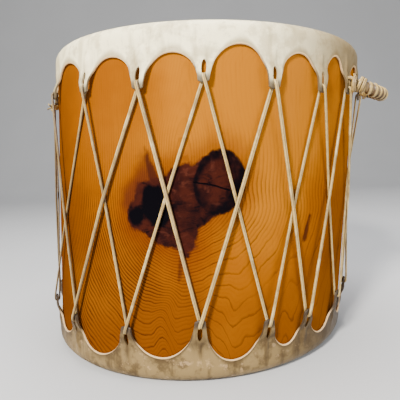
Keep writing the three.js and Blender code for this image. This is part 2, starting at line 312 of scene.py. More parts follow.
def set_attribute(mesh, name, values):
    attribute = mesh.attributes.new(name, "FLOAT", "POINT")
    attribute.data.foreach_set("value", np.asarray(values, dtype=np.float32).ravel())


def shade_smooth(mesh):
    mesh.polygons.foreach_set("use_smooth", [True] * len(mesh.polygons))
    mesh.update()


def applied(obj, name):
    """The evaluated object as one plain mesh object, with every modifier gone"""
    depsgraph = bpy.context.evaluated_depsgraph_get()
    mesh = bpy.data.meshes.new_from_object(obj.evaluated_get(depsgraph), depsgraph=depsgraph)
    old = obj.data
    bpy.data.objects.remove(obj, do_unlink=True)
    if isinstance(old, bpy.types.Mesh) and old.users == 0:
        bpy.data.meshes.remove(old)
    mesh.name = name
    return new_object(name, mesh)


def joined(name, objects):
    """Several plain mesh objects as one"""
    with bpy.context.temp_override(active_object=objects[0], selected_editable_objects=objects):
        bpy.ops.object.join()
    objects[0].name = name
    objects[0].data.name = name
    return objects[0]


def outward(obj):
    """Welds doubled points and turns every face outwards"""
    mesh = bmesh.new()
    mesh.from_mesh(obj.data)
    bmesh.ops.remove_doubles(mesh, verts=mesh.verts, dist=1e-6)
    bmesh.ops.recalc_face_normals(mesh, faces=mesh.faces)
    mesh.to_mesh(obj.data)
    mesh.free()
    obj.data.update()


def dress(obj, node, material=None):
    """Sets the material, then ties the piece to the frame"""
    if material:
        obj.data.materials.clear()
        obj.data.materials.append(material)
        obj.data.polygons.foreach_set("material_index", [0] * len(obj.data.polygons))
    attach(obj, "root")
    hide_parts(node)


# Materials. Noise scales count waves per metre, and spans are in their field's own unit, mostly millimetres.


def add_node(tree, kind, inputs=None, **properties):
    """A new node with its properties set, and its inputs linked to sockets or set to values"""
    node = tree.nodes.new(kind)
    for name, value in properties.items():
        setattr(node, name, value)
    for key, value in (inputs or {}).items():
        socket = node.inputs[key]
        if isinstance(value, bpy.types.NodeSocket):
            tree.links.new(value, socket)
        elif socket.type == "RGBA":
            socket.default_value = (*value, 1)
        else:
            socket.default_value = value
    return node


class Shader:
    """A material's node tree with short ways to add nodes"""

    def __init__(self, name, roughness, **sockets):
        self.material = bpy.data.materials.new(name)
        self.material.use_nodes = True
        self.tree = self.material.node_tree
        self.surface = self.tree.nodes["Principled BSDF"].inputs
        self.surface["Roughness"].default_value = roughness
        for socket, value in sockets.items():
            self.surface[socket.replace("_", " ")].default_value = value
        self.place = add_node(self.tree, "ShaderNodeTexCoord").outputs["Object"]

    def field(self, name):
        return add_node(self.tree, "ShaderNodeAttribute", attribute_name=name).outputs["Fac"]

    def stretched(self, scale):
        inputs = {"Vector": self.place, "Scale": scale}
        return add_node(self.tree, "ShaderNodeMapping", inputs).outputs["Vector"]

    def noise(self, scale, detail=3, roughness=0.5, distortion=0, place=None):
        inputs = {"Vector": place or self.place, "Scale": scale, "Detail": detail}
        inputs |= {"Roughness": roughness, "Distortion": distortion}
        return add_node(self.tree, "ShaderNodeTexNoise", inputs).outputs["Fac"]

    def math(self, operation, a, b=0.0, c=0.0):
        return add_node(self.tree, "ShaderNodeMath", {0: a, 1: b, 2: c}, operation=operation).outputs[0]

    def plus(self, a, b):
        return self.math("ADD", a, b)

    def less(self, a, b):
        return self.math("SUBTRACT", a, b)

    def times(self, a, b):
        return self.math("MULTIPLY", a, b)

    def scaled(self, value, factor, offset):
        return self.math("MULTIPLY_ADD", value, factor, offset)

    def span(self, value, low, high, to_low=0.0, to_high=1.0):
        """Eases from one number to another while a value goes from low to high"""
        inputs = {"Value": value, "From Min": low, "From Max": high, "To Min": to_low, "To Max": to_high}
        node = add_node(self.tree, "ShaderNodeMapRange", inputs, interpolation_type="SMOOTHSTEP")
        return node.outputs["Result"]

    def mix(self, share, a, b):
        inputs = {"Factor": share, 6: a, 7: b}
        return add_node(self.tree, "ShaderNodeMix", inputs, data_type="RGBA").outputs[2]

    def ramp(self, value, stops):
        node = add_node(self.tree, "ShaderNodeValToRGB", {"Fac": value})
        elements = node.color_ramp.elements
        while len(elements) < len(stops):
            elements.new(0.5)
        for element, (position, level) in zip(elements, stops):
            element.position = position
            element.color = (level, level, level, 1)
        return node.outputs["Color"]

    def bump(self, height, distance, strength=1.0, under=None):
        inputs = {"Strength": strength, "Distance": distance, "Height": height}
        if under:
            inputs["Normal"] = under
        return add_node(self.tree, "ShaderNodeBump", inputs).outputs["Normal"]

    def finish(self, color, normal=None, roughness=None):
        for name, value in (("Base Color", color), ("Normal", normal), ("Roughness", roughness)):
            if value:
                self.tree.links.new(value, self.surface[name])
        return self.material


def wood_material(colors):
    shader = Shader("varnished_log_wood", 0.36, Coat_Weight=0.015, Coat_Roughness=0.2, Specular_IOR_Level=0.0)
    field, noise, span, mix = shader.field, shader.noise, shader.span, shader.mix
    plus, less, times, scaled = shader.plus, shader.less, shader.times, shader.scaled
    cloud = noise(26, 4, 0.55)
    fibre = noise(1, 4, 0.6, place=shader.stretched((420, 420, 22)))
    # The depth field carries painted light: paler amber as a painted sheen near the top, deeper amber as
    # painted shade at the sides
    tone = plus(field("depth"), scaled(cloud, 0.5, -0.25))
    color = mix(span(tone, 0.0, 0.5), colors.pale_amber, colors.amber)
    color = mix(span(tone, 0.5, 1.05), color, colors.deep_amber)
    color = mix(span(noise(9, 3, 0.5), 0.42, 0.66, 0, 0.2), color, colors.pale_amber)
    color = mix(span(fibre, 0.5, 0.75, 0, 0.22), color, colors.deep_amber)

    wander = scaled(noise(32, 2, 0.5), 0.7, field("growth"))
    wander = scaled(noise(170, 2, 0.5), 0.28, wander)
    sparse = field("sparse")
    wander = scaled(times(noise(62, 3, 0.6), sparse), 1.5, wander)
    line = shader.ramp(shader.math("FRACT", wander), ((0, 0), (0.45, 0.06), (0.74, 0.7), (0.88, 1), (1, 0)))
    patchy = span(noise(30, 3, 0.6), 0.35, 0.65, 0.55, 1)
    every_third = span(shader.math("FRACT", times(wander, 1 / 3)), 0.65, 0.68)
    hidden = shader.math("MAXIMUM", times(sparse, less(0.85, every_third)), 0.0)
    strength = times(times(times(line, field("figure")), patchy), less(1.0, hidden))
    color = mix(strength, color, colors.growth_line)

    rough_edge = scaled(noise(95, 4, 0.6), 9.0, -4.5)
    body = plus(field("knot"), rough_edge)
    color = mix(span(body, 22, -1, 0, 0.55), color, colors.knot_halo)
    color = mix(span(plus(field("stain"), rough_edge), 9, -4, 0, 0.6), color, colors.knot_stain)
    heart = mix(span(noise(60, 4, 0.6), 0.35, 0.62), colors.knot_black, colors.knot_brown)
    heart = mix(0.35, heart, colors.knot_brown)
    flecks = noise(1, 4, 0.6, 1.2, shader.stretched((42, 42, 85)))
    heart = mix(span(flecks, 0.55, 0.72, 0, 0.75), heart, colors.knot_light)
    heart = mix(span(flecks, 0.47, 0.34, 0, 0.85), heart, colors.knot_black)
    color = mix(span(body, 1.6, -1.2), color, heart)
    branch = plus(field("branch"), times(rough_edge, 0.5))
    rim = times(span(branch, 2.5, 0.5), span(plus(branch, field("rim")), -3.5, 1.0))
    rim = times(rim, span(noise(70, 3, 0.6), 0.3, 0.6, 0.45, 0.95))
    color = mix(rim, color, colors.knot_black)
    lobe = plus(field("lobe"), times(rough_edge, 0.8))
    color = mix(span(lobe, 1.8, -1.4), color, colors.knot_black)
    streak = plus(field("streak"), times(rough_edge, 0.4))
    color = mix(span(streak, 2.2, -1.2, 0, 0.85), color, colors.knot_brown)
    ragged = scaled(noise(160, 2), 1.2, plus(field("crack"), -0.6))
    crack = times(span(shader.math("ABSOLUTE", ragged), 0.85, 0.4), span(field("crack_reach"), 4.0, 2.5))
    color = mix(crack, color, colors.knot_black)

    wobble = shader.bump(noise(14, 2, 0.5), 0.004, 0.35)
    grain = shader.bump(plus(strength, times(fibre, 0.4)), -0.00012, 0.6, wobble)
    return shader.finish(color, shader.bump(crack, -0.0008, 1.0, grain), span(cloud, 0.3, 0.7, 0.3, 0.42))


def hide_material(name, colors, light, dark, soil):
    """Rawhide mottled from light to dark, the more the higher its soil, with painted shade at its sides, near
    its cut edges and round its tips
    """
    shader = Shader(name, 0.55, Coat_Weight=0.05, Coat_Roughness=0.35, Specular_IOR_Level=0.25)
    span, mix, times = shader.span, shader.mix, shader.times
    cloud = shader.noise(48, 5, 0.62)
    speckle = shader.noise(130, 4, 0.65)
    streaks = shader.noise(1, 4, 0.6, place=shader.stretched((75, 75, 14)))
    edge, tip = shader.field("edge"), shader.field("tip")
    mottling = shader.scaled(speckle, 0.35, times(cloud, 0.8))
    color = mix(span(mottling, 0.53, 0.68, 0, soil), light, dark)
    color = mix(span(streaks, 0.5, 0.68, 0, soil), color, dark)
    color = mix(span(speckle, 0.56, 0.7, 0, soil * 0.5), color, colors.cut_edge)
    # Painted shade: darker towards the hide's right and left side
    color = mix(shader.field("shade"), color, dark)
    # Darker near the cut edges: translucent hide there, and painted shade beside the tips and arches
    color = mix(span(shader.scaled(cloud, 9.0, edge), 13.0, 4.5, 0, 0.7), color, dark)
    # Painted shade round the tips, in streaks
    color = mix(times(tip, span(streaks, 0.35, 0.62, 0.2, 0.75)), color, dark)
    # Painted shadow at the ends of the tips
    color = mix(times(tip, span(edge, 9, 2, 0, 0.8)), color, colors.shaded_tip_ends)
    color = mix(times(span(edge, 0.95, 0.3, 0, 0.85), span(tip, 0.5, 0.1)), color, colors.cut_edge)
    normal = shader.bump(cloud, 0.002, 0.3, shader.bump(speckle, 0.0004, 0.45))
    return shader.finish(color, normal, span(cloud, 0.3, 0.7, 0.46, 0.64))


def thong_material(colors):
    shader = Shader("laced_rawhide", 0.5, Coat_Weight=0.1, Coat_Roughness=0.3)
    noise, span, mix = shader.noise, shader.span, shader.mix
    fine = noise(420, 3, 0.6)
    side = shader.field("side")
    color = mix(span(noise(45, 4, 0.6), 0.42, 0.7, 0, 0.5), colors.thong, colors.thong_soil_and_shade)
    color = mix(span(fine, 0.4, 0.7, 0, 0.25), color, colors.thong_soil_and_shade)
    color = mix(span(noise(60, 2), 0.55, 0.7, 0, 0.5), color, colors.thong_light)
    # Painted shade: darker in the thong's grooves and in the gaps between the handle's wraps, darker along
    # one edge of each lace and a little along the other
    color = mix(span(shader.field("groove"), 0.35, 1.0, 0, 0.8), color, colors.thong_soil_and_shade)
    color = mix(span(side, 0.2, 0.85, 0, 0.9), color, colors.thong_soil_and_shade)
    color = mix(span(side, -0.75, -1.0, 0, 0.4), color, colors.thong_soil_and_shade)
    return shader.finish(color, shader.bump(fine, 0.0003, 0.5))


def floor_material(colors):
    shader = Shader("studio_floor", 0.7)
    shade = tuple(0.94 * channel for channel in colors.floor)
    clouds = shader.span(shader.noise(3, 2, 0.5), 0.4, 0.6, 0, 0.4)
    return shader.finish(shader.mix(clouds, colors.floor, shade))


def piece_material(name, make, *values):
    """The named material, made the first time it is asked for"""
    return bpy.data.materials.get(name) or make(*values)


# Wood figure, worked out as smooth fields over the log's unrolled side in millimetres


def unrolled(degrees, height):
    return np.radians(degrees) * UNROLL_RADIUS, height


def oval_distance(u, v, oval):
    """Rough distance from an oval's edge, negative inside"""
    angle, height, half_width, half_height, turn = oval
    centre_u, centre_v = unrolled(angle, height)
    cosine, sine = math.cos(math.radians(turn)), math.sin(math.radians(turn))
    du, dv = u - centre_u, v - centre_v
    across = (du * cosine + dv * sine) / half_width
    along = (-du * sine + dv * cosine) / half_height
    return (np.hypot(across, along) - 1) * min(half_width, half_height)


def blob_distance(u, v, ovals, softness):
    """Distance from the edge of several ovals that run together smoothly"""
    total = sum(np.exp(-np.clip(oval_distance(u, v, oval), -60, 200) / softness) for oval in ovals)
    return -softness * np.log(total)


def line_distance(u, v, points, start_width, end_width):
    """Distance from a tapering line's edge, and the signed distance from its middle"""
    nearest = np.full(np.shape(u), 1e3)
    signed = nearest.copy()
    places = [unrolled(*p) for p in points]
    for i in range(len(places) - 1):
        a, b = np.array(places[i]), np.array(places[i + 1])
        run = b - a
        share = np.clip(((u - a[0]) * run[0] + (v - a[1]) * run[1]) / (run @ run), 0, 1)
        du, dv = u - a[0] - share * run[0], v - a[1] - share * run[1]
        total = (i + share) / (len(places) - 1)
        distance = np.hypot(du, dv) - (start_width + (end_width - start_width) * total) / 2
        side = (du * run[1] - dv * run[0]) / np.hypot(*run)
        signed = np.where(distance < nearest, side, signed)
        nearest = np.minimum(nearest, distance)
    return nearest, signed


def rolling(seed, step, place):
    """A smooth random line between -1 and 1, with a new value at every step"""
    values = np.random.default_rng(seed).uniform(-1, 1, 256)
    index = np.floor(place / step).astype(int)
    share = smooth_step(0, 1, place / step - index)
    return values[index % 256] * (1 - share) + values[(index + 1) % 256] * share


def knot_fields(u, v):
    """Distances from the edges of the knots, the stain and the crack, and the width of the ring's dark rim"""
    ring_u, ring_v = unrolled(*RING_BRANCH[:2])
    away = np.maximum(np.hypot(u - ring_u, v - ring_v), 1)
    crack_reach, crack = line_distance(u, v, CRACK_POINTS, 0, 0)
    return {
        "knot": blob_distance(u, v, KNOT_BODY, 2.5),
        "lobe": blob_distance(u, v, BLACK_LOBES, 1.8),
        "stain": line_distance(u, v, *STAIN)[0],
        "branch": oval_distance(u, v, RING_BRANCH),
        "rim": 1.2 + 6.5 * np.clip((u - ring_u) / away, 0, 1) + 3.2 * np.abs(v - ring_v) / away,
        "streak": np.minimum.reduce([line_distance(u, v, *streak)[0] for streak in STREAKS]),
        "crack": crack,
        "crack_reach": crack_reach,
    }


def grain_fields(u, v, knot):
    """Count and strength of the growth lines, which bend round the knot, and how deep the amber is, which
    carries painted sheen and painted shade
    """
    heart_u, heart_v = unrolled(*KNOT_HEART)
    half_round = math.pi * UNROLL_RADIUS
    du = (u - heart_u + half_round) % (2 * half_round) - half_round
    below = 0.85 * np.maximum(heart_v - v, 0)
    distance = np.hypot(du, below + 0.1 * np.maximum(v - heart_v, 0)) + 1
    across, along = np.abs(du) / distance, below / distance
    front = smooth_step(540, 400, np.abs(du))
    rightwards = front * smooth_step(0, 80, du)
    left = front * smooth_step(20, -60, du)
    low = 1 - smooth_step(150, 250, v)

    hills = 17 * rolling(3, 13, du + 4 * rolling(4, 30, v)) + 9 * rolling(5, 41, du)
    hills = smooth_step(40, 135, distance) * hills + 1.1 * rolling(6, 7, du)
    sways = 7 * rolling(7, 55, v + du / 6) + 3 * rolling(8, 21, v + du / 9)
    wildness = 0.3 + 0.7 * smooth_step(-60, -15, du)
    waves = front * wildness * (along * hills + across * sways)
    growth = RING_SPREAD * np.log1p((distance + waves) / (RING_SPREAD * RING_WIDTH)) / (1 + 0.3 * rightwards)

    sparse_right = smooth_step(-8, 35, du) * (1 - smooth_step(115, 165, v))
    sparse_foot = 0.8 * smooth_step(-95, -55, du) * (1 - smooth_step(62, 92, v))
    near = np.exp(-np.maximum(knot, 0) / 55)
    figure = np.clip(0.09 + 0.55 * low + 0.25 * left * low + 0.4 * near * low, 0, 1)
    quiet = smooth_step(-0.2, 0.5, rolling(9, 34, du + v / 3) * rolling(10, 40, v))
    # Painted light and shade in the amber: it deepens as painted shade where the log's side turns away to the
    # left and right, pales as painted light on the right above the foot, and pales towards the top as a
    # painted sheen while deepening towards the base
    side = smooth_step(85, 150, np.abs(du))
    painted_glow = rightwards * smooth_step(60, 130, v)
    depth = 0.05 + 0.92 * (1 - smooth_step(20, 250, v)) + 0.5 * side + 0.35 * left - 0.35 * painted_glow
    return {
        "growth": growth,
        "sparse": front * np.maximum(sparse_right, sparse_foot),
        "figure": figure * (1 - 0.25 * rightwards) * (1 - 0.6 * rightwards * quiet),
        "depth": np.clip(depth, 0, 1.25),
    }


# Pieces


class DRUM_OT_log(bpy.types.Operator):
    """Builds the hollowed, varnished log with its knots and growth lines"""

    bl_idname = "drum.log"
    bl_label = "Log"

    columns = 384
    side_rows = 112
    round_rows = 5
    bore_rows = 8

    def profile(self, sizes, ends):
        """Radius and height down the outside of the upright log, and up again inside its bore"""
        centre_drop = sizes.hide_thickness + sizes.hide_gap + sizes.edge_round
        turn = np.linspace(0, math.pi / 2, self.round_rows + 1)
        rounded = []
        for end in ends:
            height = end.height(centre_drop)
            radius = log_radius(sizes, height) - sizes.edge_round + sizes.edge_round * np.sin(turn)
            rounded.append(np.stack([radius, height - end.inward * sizes.edge_round * np.cos(turn)], -1))
        upper, lower = rounded
        heights = np.linspace(upper[-1, 1], lower[-1, 1], self.side_rows + 1)[1:-1]
        side = np.stack([log_radius(sizes, heights), heights], -1)
        bore_base = (sizes.log_base / 2 - sizes.log_wall, lower[0, 1])
        bore_top = (sizes.log_top / 2 - sizes.log_wall, upper[0, 1])
        return np.concatenate([upper, side, lower[::-1], np.linspace(bore_base, bore_top, self.bore_rows)])

    def execute(self, context):
        sizes, colors = context.scene.drum_sizes, context.scene.drum_colors
        profile = self.profile(sizes, drum_ends(sizes))
        angle = np.linspace(-math.pi, math.pi, self.columns + 1)[:-1]
        radius, height = profile[:, :1], profile[:, 1:]
        points = lean_over(sizes, ring_points(radius, angle, height)).reshape(-1, 3)
        faces = grid_faces(len(profile), self.columns, looped=True, flip=True)
        mesh = mesh_from("log", points, faces)
        u, v = np.broadcast_arrays(*unrolled(np.degrees(angle), height / MM))
        knots = knot_fields(u, v)
        for name, values in {**knots, **grain_fields(u, v, knots["knot"])}.items():
            set_attribute(mesh, name, values)
        shade_smooth(mesh)
        log = new_object("log", mesh)
        outward(log)
        dress(log, "log_shell", piece_material("varnished_log_wood", wood_material, colors))
        return {"FINISHED"}


def boundary_of_gap(sizes, end, number, end_steps, arch_steps):
    """Angles and drops along the cut edge from the middle of one tip to the middle of the next"""
    left_angle, left_shift, arch_shift = end.tip(number)
    right_angle, right_shift, _ = end.tip(number + 1)
    tip_drop = sizes.slot_drop + sizes.slot_length + sizes.tail_length
    corner = 1.6 * MM
    reach = log_radius(sizes, end.height(tip_drop)) + sizes.tip_out
    half_gap = reach * (right_angle - left_angle) / 2
    half = half_gap - sizes.tip_end / 2
    crown = sizes.arch_drop + arch_shift
    share = np.arange(end_steps) / end_steps
    end_x = half_gap - share[::-1] * sizes.tip_end / 2
    end_drop = tip_drop - corner * share**2
    turn = np.linspace(0, math.pi, 2 * arch_steps + 1)
    lowest = tip_drop - corner + np.where(turn < math.pi / 2, left_shift, right_shift)
    arch_drop = lowest + (crown - lowest) * np.sin(turn)
    across = np.concatenate([-end_x[::-1], -half * np.cos(turn), end_x])
    drops = np.concatenate([end_drop + left_shift, arch_drop, end_drop[::-1] + right_shift])
    return (left_angle + right_angle) / 2 + across / reach, drops


class Head:
    """A rawhide head: a skin over the end of the log whose skirt is cut into slotted tips"""

    end_steps = 4
    arch_steps = 12
    face_rows = 9
    rim_rows = 6
    skirt_rows = 34
    lip_shares = (0.2, 0.5, 0.8)
    lip_round = 0.8 * MM
    edge_flare = 0.4 * MM
    fold_rise = 7 * MM
    fold_reach = 9 * MM
    ridge_width = 3 * MM
    dip_place = 8 * MM
    dip_width = 3.6 * MM
    flute_wave = 1.7 * MM
    flute_reach = 10 * MM
    tip_reach = 9 * MM
    far_from_edge = 60

    def __init__(self, sizes, end):
        self.sizes = sizes
        self.end = end
        self.rim_drop = sizes.hide_thickness + sizes.hide_gap + sizes.edge_round
        random = np.random.default_rng(sizes.seed)
        self.sway = random.uniform(0, 2 * math.pi, TIP_COUNT)
        self.fold_sizes = random.uniform(0.7, 1.25, TIP_COUNT)

    def folds(self, x, drop, shift, tip):
        """How far the tension folds above the slots and the lifted tips stand out"""
        sizes = self.sizes
        lift = smooth_step(sizes.tip_lift_drop, sizes.slot_drop + sizes.slot_length - sizes.tail_length, drop)
        fold_place = bell(drop - shift - sizes.slot_drop + self.fold_rise, self.fold_reach)
        ridge = bell(x, self.ridge_width) - 0.5 * bell(x - self.dip_place, self.dip_width)
        flute = 0.3 * np.cos(x / self.flute_wave + self.sway[tip]) * bell(x, self.flute_reach)
        fold = sizes.fold_height * self.fold_sizes[tip] * np.clip(fold_place * (ridge + flute), -0.06, 1)
        return (sizes.tip_out - sizes.hide_gap) * lift + fold * (1 - lift), lift

    def over_rim(self, angle, depth):
        """Rows from the middle of the face out and over the rim, at a depth below the hide's outside"""
        sizes, end = self.sizes, self.end
        rim_height = end.height(self.rim_drop)
        middle = log_radius(sizes, rim_height) - sizes.edge_round
        bend = sizes.edge_round + sizes.hide_gap + sizes.hide_thickness - depth
        share = (np.arange(self.face_rows + 1) / self.face_rows) ** 0.8
        turn = np.linspace(0, math.pi / 2, self.rim_rows + 1)[1:]
        flat = np.full(len(share), end.height(depth))
        radius = np.concatenate([middle * share, middle + bend * np.sin(turn)])
        height = np.concatenate([flat, rim_height - end.inward * bend * np.cos(turn)])
        return ring_points(radius[:, None], angle, height[:, None])

    def strip(self, number):
        """The hide from one tip's middle to the next, its fields and the half width of its slots"""
        sizes, end = self.sizes, self.end
        left_angle, left_shift, _ = end.tip(number)
        right_angle, right_shift, _ = end.tip(number + 1)
        cut_angle, cut_drop = boundary_of_gap(sizes, end, number, self.end_steps, self.arch_steps)
        rim_angle = np.linspace(left_angle, right_angle, len(cut_angle))

        part = (np.arange(1, self.skirt_rows + 1)[:, None] / self.skirt_rows) ** 0.92
        drop = self.rim_drop + (cut_drop - self.rim_drop) * part
        angle = rim_angle + (cut_angle - rim_angle) * part
        reach = log_radius(sizes, end.height(drop)) + sizes.tip_out
        left_x, right_x = (angle - left_angle) * reach, (right_angle - angle) * reach
        at_left = left_x < right_x
        x = np.where(at_left, left_x, right_x)
        shift = np.where(at_left, left_shift, right_shift)
        slot_middle = sizes.slot_drop + shift + sizes.slot_length / 2
        inside_slot = np.clip(1 - np.abs((drop - slot_middle) / (sizes.slot_length / 2)) ** 2.6, 0, 1)
        half_slot = sizes.slot_width / 2 * np.sqrt(inside_slot)
        moved = np.sqrt(x**2 + half_slot**2) / reach
        angle = np.where(at_left, left_angle + moved, right_angle - moved)
        raised, lift = self.folds(x, drop, shift, np.where(at_left, number, (number + 1) % TIP_COUNT))
        raised = raised + self.edge_flare * smooth_step(0.8, 1, part) * (1 - lift)
        inside = around_log(sizes, angle, end.height(drop), sizes.hide_gap + raised)
        outside = around_log(sizes, angle, end.height(drop), sizes.hide_gap + sizes.hide_thickness + raised)
        edge = np.hypot(cut_drop - drop, (cut_angle - angle) * reach) / MM
        near_slot = smooth_step(sizes.slot_drop - 18 * MM, sizes.slot_drop + 4 * MM, drop)
        tip = bell(x, self.tip_reach) * near_slot

        share = np.array(self.lip_shares)[:, None, None]
        bulge = unit(outside[-1] - outside[-2]) * self.lip_round * np.sin(math.pi * share)
        lip = outside[-1] * (1 - share) + inside[-1] * share + bulge
        over, under = self.over_rim(rim_angle, 0), self.over_rim(rim_angle, sizes.hide_thickness)
        points = np.concatenate([over, outside, lip, inside[::-1], under[::-1]])
        face = np.zeros(over.shape[:2])
        far = face + self.far_from_edge
        on_lip = np.zeros(lip.shape[:2])
        edges = np.concatenate([far, edge, on_lip, edge[::-1], far])
        tips = np.concatenate([face, tip, on_lip + tip[-1], tip[::-1], face])
        return points, edges, tips, half_slot

    def slot_walls(self, first, rows, columns, half_slot):
        """Faces across the hide's thickness, along both borders of a strip where they run beside a slot"""
        faces = []
        for column in (0, columns - 1):
            for r in range(self.skirt_rows - 1):
                if max(half_slot[r, column], half_slot[r + 1, column]) > 0:
                    outer = self.face_rows + 1 + self.rim_rows + r
                    walls = (outer, outer + 1, rows - 2 - outer, rows - 1 - outer)
                    faces.append(tuple(first + row * columns + column for row in walls))
        return faces

    def mesh(self, name):
        points, edges, tips, half_slots = zip(*(self.strip(number) for number in range(TIP_COUNT)))
        rows, columns = edges[0].shape
        faces = []
        for number, half_slot in enumerate(half_slots):
            first = number * rows * columns
            faces += grid_faces(rows, columns, first, closed=False, flip=self.end.inward > 0)
            faces += self.slot_walls(first, rows, columns, half_slot)
        mesh = mesh_from(name, lean_over(self.sizes, np.reshape(points, (-1, 3))), faces)
        set_attribute(mesh, "edge", edges)
        set_attribute(mesh, "tip", tips)
        return mesh


def head_piece(context, name, end, node, material):
    """Builds one head and paints shade on it, darker towards its sides"""
    mesh = Head(context.scene.drum_sizes, end).mesh(name)
    head = new_object(name, mesh)
    outward(head)
    x = np.array([vertex.co.x for vertex in mesh.vertices])
    right, left = SIDE_SHADES[name]
    shade = right * smooth_step(*RIGHT_SHADE, x) + left * smooth_step(*LEFT_SHADE, x)
    set_attribute(mesh, "shade", shade)
    shade_smooth(mesh)
    mesh.set_sharp_from_angle(angle=SHARP_ANGLE)
    dress(head, node, material)


class DRUM_OT_heads(bpy.types.Operator):
    """Builds the two rawhide heads with their arches, slotted tips and tension folds"""

    bl_idname = "drum.heads"
    bl_label = "Heads"

    def execute(self, context):
        sizes, colors = context.scene.drum_sizes, context.scene.drum_colors
        top, bottom = drum_ends(sizes)
        cream = hide_material("top_rawhide", colors, colors.cream_hide, colors.aged_and_shaded_hide, soil=0.34)
        grey = hide_material("bottom_rawhide", colors, colors.grey_hide, colors.dark_hide, soil=0.74)
        head_piece(context, "top_hide", top, "top_head", cream)
        head_piece(context, "bottom_hide", bottom, "bottom_head", grey)
        return {"FINISHED"}


# Thongs


class Tree:
    """A geometry node group under way, with short ways to add nodes"""

    def __init__(self, name, inputs):
        self.tree = bpy.data.node_groups.new(name, "GeometryNodeTree")
        sockets = [("Geometry", "Geometry", "INPUT"), *((label, kind, "INPUT") for label, kind in inputs)]
        for label, kind, way in [*sockets, ("Geometry", "Geometry", "OUTPUT")]:
            self.tree.interface.new_socket(label, in_out=way, socket_type="NodeSocket" + kind)
        self.start = add_node(self.tree, "NodeGroupInput").outputs
        self.place = self.add("InputPosition")["Position"]

    def add(self, kind, inputs=None, family="GeometryNode", **properties):
        return add_node(self.tree, family + kind, inputs, **properties).outputs

    def math(self, operation, a, b=0.0):
        return self.add("Math", {0: a, 1: b}, "ShaderNode", operation=operation)[0]

    def times(self, a, b):
        return self.math("MULTIPLY", a, b)

    def circle(self, resolution, radius):
        return self.add("CurvePrimitiveCircle", {"Resolution": resolution, "Radius": radius})["Curve"]

    def across(self):
        """The x and y of a section's points, and their distance from its middle along y"""
        corner = self.add("SeparateXYZ", {0: self.place}, "ShaderNode")
        return corner["X"], corner["Y"], self.math("ABSOLUTE", corner["Y"])

    def noise(self, scale, detail):
        """Smooth noise between -0.5 and 0.5, picked by the seed"""
        inputs = {"Vector": self.place, "W": self.start["Seed"], "Scale": scale, "Detail": detail}
        noise = self.add("TexNoise", inputs, "ShaderNode", noise_dimensions="4D")
        return self.math("SUBTRACT", noise[0], 0.5)

    def stored(self, geometry, name, value):
        inputs = {"Geometry": geometry, "Name": name, "Value": value}
        return self.add("StoreNamedAttribute", inputs, data_type="FLOAT", domain="POINT")["Geometry"]

    def finish(self, geometry):
        """Ends the tree: smooth shading, real geometry and the material"""
        smooth = self.add("SetShadeSmooth", {"Geometry": geometry})["Geometry"]
        real = self.add("RealizeInstances", {"Geometry": smooth})["Geometry"]
        painted = self.add("SetMaterial", {"Geometry": real, "Material": self.start["Material"]})["Geometry"]
        add_node(self.tree, "NodeGroupOutput", {"Geometry": painted})
        return self.tree


def thong_tree():
    """A flat thong with a groove along each face, swept along a path whose points carry its facing"""
    floats = ("Width", "Thickness", "Groove", "Twist", "Unevenness", "Seed")
    tree = Tree("Flat thong", [*((label, "Float") for label in floats), ("Material", "Material")])
    start = tree.start
    path = tree.add("MeshToCurve", {"Mesh": start["Geometry"]})["Curve"]
    facing = tree.add("InputNamedAttribute", {"Name": "facing"}, data_type="FLOAT_VECTOR")["Attribute"]
    path = tree.add("SetCurveNormal", {"Curve": path, "Normal": facing}, mode="FREE")["Curve"]
    tilt = tree.times(tree.noise(14.0, 1.0), start["Twist"])
    path = tree.add("SetCurveTilt", {"Curve": path, "Tilt": tilt})["Curve"]

    x, y, across = tree.across()
    groove = tree.math("POWER", tree.math("SUBTRACT", 1.0, across), 3.0)
    height = tree.math("SUBTRACT", 1.0, tree.times(groove, start["Groove"]))
    half_thickness = tree.times(start["Thickness"], 0.5)
    half_width = tree.times(start["Width"], 0.5)
    deep = tree.times(tree.times(x, height), half_thickness)
    wide = tree.times(y, half_width)
    flat = tree.add("CombineXYZ", {"X": deep, "Y": wide}, "ShaderNode")["Vector"]
    # The groove and side values paint shade in the grooves and along one edge of the thong
    section = tree.stored(tree.circle(14, 1.0), "groove", groove)
    section = tree.stored(section, "side", tree.times(y, -1.0))
    section = tree.add("SetPosition", {"Geometry": section, "Position": flat})["Geometry"]

    swept = {"Curve": path, "Profile Curve": section, "Fill Caps": True}
    thong_mesh = tree.add("CurveToMesh", swept)["Mesh"]
    amount = tree.times(tree.noise(190.0, 2.0), start["Unevenness"])
    normal = tree.add("InputNormal")["Normal"]
    shift = tree.add("VectorMath", {0: normal, "Scale": amount}, "ShaderNode", operation="SCALE")["Vector"]
    return tree.finish(tree.add("SetPosition", {"Geometry": thong_mesh, "Offset": shift})["Geometry"])


